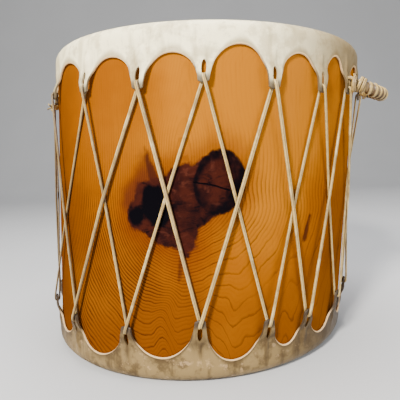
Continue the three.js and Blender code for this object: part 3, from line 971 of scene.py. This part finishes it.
def wrap_tree():
    """Round wraps set side by side along a path, over a core that fills the grooves between them"""
    floats = ("Thickness", "Root Thickness", "Wrap Width", "Slant")
    inputs = [*((label, "Float") for label in floats), ("Seed", "Int"), ("Material", "Material")]
    tree = Tree("Wrapped rod", inputs)
    start = tree.start
    step = start["Wrap Width"]
    half = tree.times(start["Thickness"], 0.5)
    from_end = tree.math("PINGPONG", tree.add("SplineParameter")["Factor"], 0.5)
    ratio = tree.math("DIVIDE", start["Root Thickness"], start["Thickness"])
    growing = {"Value": from_end, "From Min": 0.0, "From Max": 0.22, "To Min": ratio, "To Max": 1.0}
    growth = tree.add("MapRange", growing, "ShaderNode", interpolation_type="SMOOTHSTEP")["Result"]
    path = tree.add("MeshToCurve", {"Mesh": start["Geometry"]})["Curve"]
    path = tree.stored(path, "swell", growth)
    swell = tree.add("InputNamedAttribute", {"Name": "swell"}, data_type="FLOAT")["Attribute"]

    section_radius = tree.times(step, 0.58)
    ring = tree.circle(28, tree.math("SUBTRACT", half, section_radius))
    side = tree.math("DIVIDE", tree.across()[2], tree.times(step, 0.5))
    # The side value, also stored as groove, paints shade towards the gaps between the wraps
    section = tree.stored(tree.circle(10, section_radius), "side", side)
    section = tree.stored(section, "groove", side)
    wrap = tree.add("CurveToMesh", {"Curve": ring, "Profile Curve": section})["Mesh"]
    slant = tree.add("CombineXYZ", {"X": start["Slant"]}, "ShaderNode")["Vector"]
    slant = tree.add("EulerToRotation", {"Euler": slant}, "FunctionNode")["Rotation"]
    points = tree.add("CurveToPoints", {"Curve": path, "Length": step}, mode="LENGTH")
    turning = {"Rotation": points["Rotation"], "Rotate By": slant}
    turned = tree.add("RotateRotation", turning, "FunctionNode", rotation_space="LOCAL")["Rotation"]
    jitter = {"Seed": start["Seed"], 2: 0.92, 3: 1.01}
    size = tree.times(swell, tree.add("RandomValue", jitter, "FunctionNode", data_type="FLOAT")[1])
    placing = {"Points": points["Points"], "Instance": wrap, "Rotation": turned, "Scale": size}
    wraps = tree.add("InstanceOnPoints", placing)["Instances"]

    core_section = tree.circle(20, tree.times(half, 0.76))
    filling = {"Curve": path, "Profile Curve": core_section, "Scale": swell, "Fill Caps": True}
    # The core shows only in the gaps between the wraps, and a groove of 1 paints it in full shade
    core = tree.stored(tree.add("CurveToMesh", filling)["Mesh"], "groove", 1.0)
    together = add_node(tree.tree, "GeometryNodeJoinGeometry", {"Geometry": core})
    tree.tree.links.new(wraps, together.inputs["Geometry"])
    return tree.finish(together.outputs["Geometry"])


def path_object(name, points, facing=None):
    """A bare line of points, with the direction that a thong's face has at each of them"""
    mesh = bpy.data.meshes.new(name)
    edges = [(i, i + 1) for i in range(len(points) - 1)]
    mesh.from_pydata([tuple(p) for p in points], edges, [])
    if facing is not None:
        attribute = mesh.attributes.new("facing", "FLOAT_VECTOR", "POINT")
        attribute.data.foreach_set("vector", np.asarray(facing, dtype=np.float32).ravel())
    return new_object(name, mesh)


def grown(obj, tree, name, values):
    """Runs a node group on an object and keeps the result as a plain mesh object"""
    modifier = obj.modifiers.new("Shape", "NODES")
    modifier.node_group = tree
    for item in tree.interface.items_tree:
        if item.item_type == "SOCKET" and item.in_out == "INPUT" and item.name in values:
            modifier[item.identifier] = values[item.name]
    obj.update_tag()
    made = applied(obj, name)
    if not made.data.polygons:
        raise RuntimeError(f"{name} came out empty")
    return made


def facing_along(points, sideways):
    """Directions square to the path and to the given sideways directions"""
    return unit(np.cross(unit(np.gradient(points, axis=0)), sideways))


def thong(context, name, points, sideways, width, thickness, seed, twist=0.5, groove=0.35):
    """A flat thong along points round the upright log, lying square to the sideways directions"""
    sizes, colors = context.scene.drum_sizes, context.scene.drum_colors
    points = lean_over(sizes, points)
    values = {
        "Width": width,
        "Thickness": thickness,
        "Groove": groove,
        "Twist": twist,
        "Unevenness": 0.5 * MM,
        "Seed": float(sizes.seed + seed),
        "Material": piece_material("laced_rawhide", thong_material, colors),
    }
    tree = bpy.data.node_groups.get("Flat thong") or thong_tree()
    return grown(path_object(name, points, facing_along(points, sideways)), tree, name, values)


def sideways_at(points):
    """Level directions along the log's side at points in upright coordinates"""
    angle = np.arctan2(points[:, 0], -points[:, 1])
    return np.stack([np.cos(angle), np.sin(angle), np.zeros(len(points))], -1)


def resampled(points, step):
    """Points along a line of straight stretches at even distances, with its corners kept"""
    result = [points[0]]
    for a, b in zip(points[:-1], points[1:]):
        count = max(1, round(np.linalg.norm(b - a) / step))
        result += [a + (b - a) * (i + 1) / count for i in range(count)]
    return np.array(result)


def softened(points, rounds):
    """The same points with their corners eased"""
    for _ in range(rounds):
        inner = (points[:-2] + 2 * points[1:-1] + points[2:]) / 4
        points = np.concatenate([points[:1], inner, points[-1:]])
    return points


class LaceRoute:
    """The route of one lace: behind each tip, through its slot, over its front and on to the right"""

    hairpin_steps = 10

    def __init__(self, sizes, ends, thickness, crossing_out):
        self.sizes = sizes
        self.top, self.bottom = ends
        self.thickness = thickness
        self.crossing_out = crossing_out

    def hairpin(self, end, number):
        sizes = self.sizes
        angle, shift, _ = end.tip(number)
        radius = (self.thickness + sizes.hide_thickness) / 2 + sizes.lace_clearance
        middle_out = sizes.tip_out + sizes.hide_thickness / 2
        slot_end = sizes.slot_drop + sizes.slot_length + shift
        turn = np.linspace(0, math.pi, self.hairpin_steps + 1)
        drop = slot_end + 0.9 * MM - radius * np.sin(turn)
        return around_log(sizes, angle, end.height(drop), middle_out - radius * np.cos(turn))

    def crossing(self, number):
        sizes = self.sizes
        top_from, bottom_to = self.top.tip(number), self.bottom.tip(number + 1)
        top_gap = self.top.tip(number + 1)[0] - top_from[0]
        bottom_gap = bottom_to[0] - self.bottom.tip(number)[0]
        share = top_gap / (top_gap + bottom_gap)
        slot_end = sizes.slot_drop + sizes.slot_length
        upper = self.top.height(slot_end + top_from[1])
        lower = self.bottom.height(slot_end + bottom_to[1])
        angle = top_from[0] + (bottom_to[0] - top_from[0]) * share
        return around_log(sizes, angle, upper + (lower - upper) * share, self.crossing_out)

    def strand_start(self, end, number, start, aim):
        """Just past the tip's end, still as far out as over its front"""
        sizes = self.sizes
        run = sizes.tail_length + 0.6 * MM
        place = start + (aim - start) * run / abs(aim[2] - start[2])
        angle = math.atan2(place[0], -place[1])
        height = end.height(sizes.slot_drop + sizes.slot_length + end.tip(number)[1] + run)
        out = math.hypot(start[0], start[1]) - log_radius(sizes, start[2])
        return around_log(sizes, angle, height, out)

    def whole(self, first):
        points = []
        for number in range(first, first + TIP_COUNT):
            end = self.top if (number - first) % 2 == 0 else self.bottom
            hairpin = self.hairpin(end, number)
            cross = self.crossing(number)
            points += [*hairpin, self.strand_start(end, number, hairpin[-1], cross), cross]
        return points


def lace_layers(sizes):
    under_out = 1.35 * MM + sizes.under_thickness / 2
    over_out = under_out + (sizes.under_thickness + sizes.over_thickness) / 2 + 0.3 * MM
    return under_out, over_out


class DRUM_OT_laces(bpy.types.Operator):
    """Builds the two rawhide laces, and the knot that ties off the upper one"""

    bl_idname = "drum.laces"
    bl_label = "Laces"

    point_spacing = 3 * MM
    hidden_end_overlap = 2 * MM
    knot_tuck = 6.2 * MM
    knot_distance = 13 * MM
    coil_turns = 2.2
    coil_steps = 44
    coil_radius = 3 * MM
    coil_rise = 2.6 * MM
    knot_width = 3 * MM

    def lace(self, context, name, points, width, thickness, seed):
        route = softened(resampled(np.array(points), self.point_spacing), 2)
        return thong(context, name, route, sideways_at(route), width, thickness, seed)

    def knot_parts(self, context, place, outwards, down):
        """Two turns of lace round the two strands, and the two tails that stand out of them"""
        side = np.cross(outwards, down)
        turn = np.linspace(0, 2 * math.pi * self.coil_turns, self.coil_steps)
        rise = np.linspace(self.coil_rise, -self.coil_rise, self.coil_steps)
        round_strands = np.outer(np.cos(turn), outwards) + 1.15 * np.outer(np.sin(turn), side)
        runs = [(place + self.coil_radius * round_strands - np.outer(rise, down), down, 1.9 * MM)]
        share = np.linspace(0, 1, 10)[:, None]
        for sign, lift in ((1, 0.5), (-1, -0.35)):
            tail = outwards * 6.5 * share + side * sign * 4.5 * share**1.5 - down * lift * 8 * share**2
            runs.append((place + tail * MM, side, 1.6 * MM))
        return [
            thong(context, "knot", points, sideways, self.knot_width, thickness, 5 + i, 0.3, 0.2)
            for i, (points, sideways, thickness) in enumerate(runs)
        ]

    def execute(self, context):
        sizes = context.scene.drum_sizes
        ends = drum_ends(sizes)
        under_out, over_out = lace_layers(sizes)
        points = LaceRoute(sizes, ends, sizes.under_thickness, under_out).whole(HIDDEN_ENDS_TIP)
        points.append(points[0] + unit(points[-1] - points[0]) * self.hidden_end_overlap)
        lace = self.lace(context, "lower_lace", points, sizes.under_width, sizes.under_thickness, 1)
        dress(lace, "under_lace")

        points = LaceRoute(sizes, ends, sizes.over_thickness, over_out).whole(KNOT_TIP)
        strand = unit(points[-1] - points[0])
        tuck = points[0] + strand * self.knot_tuck
        knot = points[0] + strand * self.knot_distance
        outwards = unit(knot * (1, 1, 0))
        knot = knot + outwards * sizes.over_thickness
        points = [knot, tuck, *points, knot]
        lace = self.lace(context, "upper_lace", points, sizes.over_width, sizes.over_thickness, 2)
        lace = joined("upper_lace", [lace, *self.knot_parts(context, knot, outwards, strand)])
        dress(lace, "over_lace")
        return {"FINISHED"}


# Handle


class HandleLine:
    """The line of the handle: a half oval that stands out from the log between its ties and hangs a little"""

    samples = 241

    def __init__(self, sizes, top):
        self.sizes = sizes
        root_height = top.height(sizes.handle_root_drop)
        root_angle = sizes.handle_root_distance / log_radius(sizes, root_height)
        first = top.tip(HANDLE_TIPS[0])[0] + root_angle
        last = top.tip(HANDLE_TIPS[1])[0] - root_angle
        turn = np.linspace(0, math.pi, self.samples)
        angle = (first + last) / 2 - (last - first) / 2 * np.cos(turn)
        height = top.height(sizes.handle_root_drop + sizes.handle_droop * np.sin(turn))
        out = sizes.handle_root_out + sizes.handle_reach * np.sin(turn)
        self.points = around_log(sizes, angle, height, out)
        steps = np.linalg.norm(np.diff(self.points, axis=0), axis=1)
        self.distance = np.concatenate([[0], np.cumsum(steps)])
        self.length = self.distance[-1]

    def at(self, along):
        return np.stack([np.interp(along, self.distance, self.points[:, i]) for i in range(3)], -1)

    def frame(self, along):
        """Place, and directions ahead, to the side and upwards"""
        ahead = unit(self.at(min(along + 0.5 * MM, self.length)) - self.at(max(along - 0.5 * MM, 0)))
        side = unit(np.cross(ahead, (0, 0, 1)))
        return self.at(along), ahead, side, np.cross(side, ahead)

    def radius(self, along):
        taper = min(along, self.length - along) / (3 * self.sizes.wrap_width)
        share = smooth_step(0, 1, taper)
        return (self.sizes.handle_root + (self.sizes.handle_thickness - self.sizes.handle_root) * share) / 2


class DRUM_OT_handle(bpy.types.Operator):
    """Builds the handle, wrapped from end to end with a rawhide thong"""

    bl_idname = "drum.handle"
    bl_label = "Handle"

    wrap_slant = math.radians(14)

    def execute(self, context):
        sizes, colors = context.scene.drum_sizes, context.scene.drum_colors
        line = HandleLine(sizes, drum_ends(sizes)[0])
        material = piece_material("laced_rawhide", thong_material, colors)
        values = {
            "Thickness": sizes.handle_thickness,
            "Root Thickness": sizes.handle_root,
            "Wrap Width": sizes.wrap_width,
            "Slant": self.wrap_slant,
            "Seed": sizes.seed,
            "Material": material,
        }
        path = path_object("handle_path", lean_over(sizes, line.points))
        tree = bpy.data.node_groups.get("Wrapped rod") or wrap_tree()
        handle = grown(path, tree, "wrapped_handle", values)
        dress(handle, "handle", material)
        return {"FINISHED"}


class DRUM_OT_ties(bpy.types.Operator):
    """Lashes both ends of the handle to their tips"""

    bl_idname = "drum.ties"
    bl_label = "Ties"

    thickness = 1.9 * MM
    coil_turns = 2.6
    coil_steps = 60
    coil_length = 8 * MM
    strap_drop = 2.4 * MM
    strap_out = 2.2 * MM
    hitch_out = 4.4 * MM
    loop_count = 2
    loop_steps = 56

    def coil(self, line, along, inward):
        """Turns of thong round the handle near its end, and the direction that the thong's width has there"""
        points, sideways = [], []
        for share in np.linspace(0, 1, self.coil_steps):
            place, ahead, side, rise = line.frame(along + inward * (share - 0.3) * self.coil_length)
            turn = 2 * math.pi * self.coil_turns * share + math.pi / 2
            radius = line.radius(along) + self.thickness / 2 + 0.4 * MM + 0.35 * MM * math.sin(5 * share)
            points.append(place + radius * (math.cos(turn) * rise + math.sin(turn) * side))
            sideways.append(ahead * inward)
        return np.array(points), np.array(sideways)

    def hitch(self, sizes, angle, strap_height):
        """Long loops of thong that hang over the front of the tip, outside the laces"""
        turn = np.linspace(0, 2 * math.pi * self.loop_count, self.loop_steps)
        share = np.linspace(0, 1, self.loop_steps)
        shrink = 1 - 0.35 * share
        across = 4.6 * MM * np.sin(turn) * shrink / log_radius(sizes, strap_height)
        height = strap_height + (-6.5 + 9 * np.cos(turn) * shrink) * MM
        out = sizes.tip_out + sizes.hide_thickness + self.hitch_out + 2.2 * MM * share
        return around_log(sizes, angle + across, height, out)

    def lashing(self, context, name, line, top, number, along, seed):
        sizes = context.scene.drum_sizes
        angle, shift, _ = top.tip(number)
        coil, ahead = self.coil(line, along, 1 if along < line.length / 2 else -1)
        height = top.height(sizes.slot_drop + shift + self.strap_drop)
        behind = around_log(sizes, angle, height, 2.4 * MM)
        front = around_log(sizes, angle, height, sizes.tip_out + sizes.hide_thickness + self.strap_out)
        strap = softened(resampled(np.array([behind, front, coil[0]]), 1.5 * MM), 3)
        up, away = (0.0, 0.0, 1.0), around_log(sizes, angle, 0.0, 0.0)
        wide, narrow = sizes.tie_thickness, sizes.tie_thickness * 0.85
        runs = (
            (coil, ahead, wide, self.thickness, seed, 0.3, 0.25),
            (strap, up, narrow, self.thickness, seed + 1, 0.2, 0.2),
            (self.hitch(sizes, angle, height), away, narrow, self.thickness, seed + 2, 0.3, 0.2),
        )
        return joined(name, [thong(context, name, *run) for run in runs])

    def execute(self, context):
        sizes = context.scene.drum_sizes
        top = drum_ends(sizes)[0]
        line = HandleLine(sizes, top)
        front, rear = sizes.tie_distance, line.length - sizes.tie_distance
        tie = self.lashing(context, "front_lashing", line, top, HANDLE_TIPS[0], front, 11)
        dress(tie, "front_handle_tie")
        tie = self.lashing(context, "rear_lashing", line, top, HANDLE_TIPS[1], rear, 21)
        dress(tie, "rear_handle_tie")
        return {"FINISHED"}


# Stage


class DRUM_OT_stage(bpy.types.Operator):
    """Sets the pale floor, the soft lights and the camera"""

    bl_idname = "drum.stage"
    bl_label = "Stage"

    floor_half_width = 5.0
    floor_front = -4.0
    bend_start = 1.6
    bend_radius = 1.2
    bend_steps = 12
    wall_height = 5.0

    # Place, diameter, power and colour of each light, which all face the middle of the drum
    middle = (0.01, 0, 0.17)
    lights = {
        "key": ((-0.55, -1.35, 1.15), 0.28, 82, (1.0, 0.97, 0.92)),
        "fill": ((1.3, -0.9, 0.7), 1.1, 20, (0.97, 0.98, 1.0)),
        "top": ((0.0, 0.15, 1.5), 1.0, 28, (0.98, 0.98, 1.0)),
    }
    sky = (0.86, 0.89, 0.95, 1)
    sky_strength = 0.5

    # The camera as fitted to the photograph
    camera_place = (0.01443, -0.54536, 0.21239)
    camera_lens = 38.58
    pitch = 0.1117
    roll = -0.0501
    yaw = -0.0105

    def floor(self, colors):
        turn = np.linspace(0, math.pi / 2, self.bend_steps + 1)
        back = self.bend_start + self.bend_radius * np.sin(turn)
        rise = self.bend_radius * (1 - np.cos(turn))
        profile = [(self.floor_front, 0.0), *zip(back, rise), (back[-1], self.wall_height)]
        points = [(x, y, z) for y, z in profile for x in (-self.floor_half_width, self.floor_half_width)]
        mesh = mesh_from("studio_floor", points, grid_faces(len(profile), 2, closed=False))
        mesh.materials.append(floor_material(colors))
        shade_smooth(mesh)
        new_object("studio_floor", mesh)

    def light(self, name, place, size, power, color):
        data = bpy.data.lights.new(name, "AREA")
        data.shape = "DISK"
        data.size = size
        data.energy = power
        data.color = color
        light = new_object(name, data)
        light.location = place
        light.rotation_euler = (Vector(self.middle) - Vector(place)).to_track_quat("-Z", "Y").to_euler()

    def camera(self, scene):
        forward = Vector((math.sin(self.yaw), math.cos(self.yaw), 0))
        right = Vector((math.cos(self.yaw), -math.sin(self.yaw), 0))
        up = Vector((0, 0, 1))
        look = forward * math.cos(self.pitch) - up * math.sin(self.pitch)
        upper = forward * math.sin(self.pitch) + up * math.cos(self.pitch)
        axis_x = right * math.cos(self.roll) + upper * math.sin(self.roll)
        axis_y = -right * math.sin(self.roll) + upper * math.cos(self.roll)
        data = bpy.data.cameras.new("camera")
        data.sensor_width = 36
        data.lens = self.camera_lens
        data.clip_start = 0.01
        scene.camera = new_object("camera", data)
        turn = Matrix((axis_x, axis_y, -look)).transposed().to_4x4()
        scene.camera.matrix_world = Matrix.Translation(self.camera_place) @ turn

    def execute(self, context):
        scene = context.scene
        self.floor(scene.drum_colors)
        for name, values in self.lights.items():
            self.light(name, *values)
        scene.world = bpy.data.worlds.new("studio")
        scene.world.use_nodes = True
        background = scene.world.node_tree.nodes["Background"].inputs
        background["Color"].default_value = self.sky
        background["Strength"].default_value = self.sky_strength
        self.camera(scene)
        return {"FINISHED"}


class DRUM_PT_panel(bpy.types.Panel):
    """Lists the drum's operators, sizes and colours"""

    bl_idname = "DRUM_PT_panel"
    bl_label = "Log drum"
    bl_space_type = "VIEW_3D"
    bl_region_type = "UI"
    bl_category = "Drum"

    def draw(self, context):
        layout = self.layout
        for operator in OPERATORS:
            layout.operator(operator.bl_idname)
        for group in (context.scene.drum_sizes, context.scene.drum_colors):
            for name in group.__annotations__:
                layout.prop(group, name)


OPERATORS = (DRUM_OT_log, DRUM_OT_heads, DRUM_OT_laces, DRUM_OT_handle, DRUM_OT_ties, DRUM_OT_stage)
CLASSES = (LogDrumSizes, LogDrumColors, *OPERATORS, DRUM_PT_panel)


def register():
    for item in CLASSES:
        bpy.utils.register_class(item)
    bpy.types.Scene.drum_sizes = PointerProperty(type=LogDrumSizes)
    bpy.types.Scene.drum_colors = PointerProperty(type=LogDrumColors)


def unregister():
    del bpy.types.Scene.drum_colors
    del bpy.types.Scene.drum_sizes
    for item in reversed(CLASSES):
        bpy.utils.unregister_class(item)


def main():
    register()
    bpy.ops.drum.log()
    bpy.ops.drum.heads()
    bpy.ops.drum.laces()
    bpy.ops.drum.handle()
    bpy.ops.drum.ties()
    bpy.ops.drum.stage()


if __name__ == "__main__":
    main()
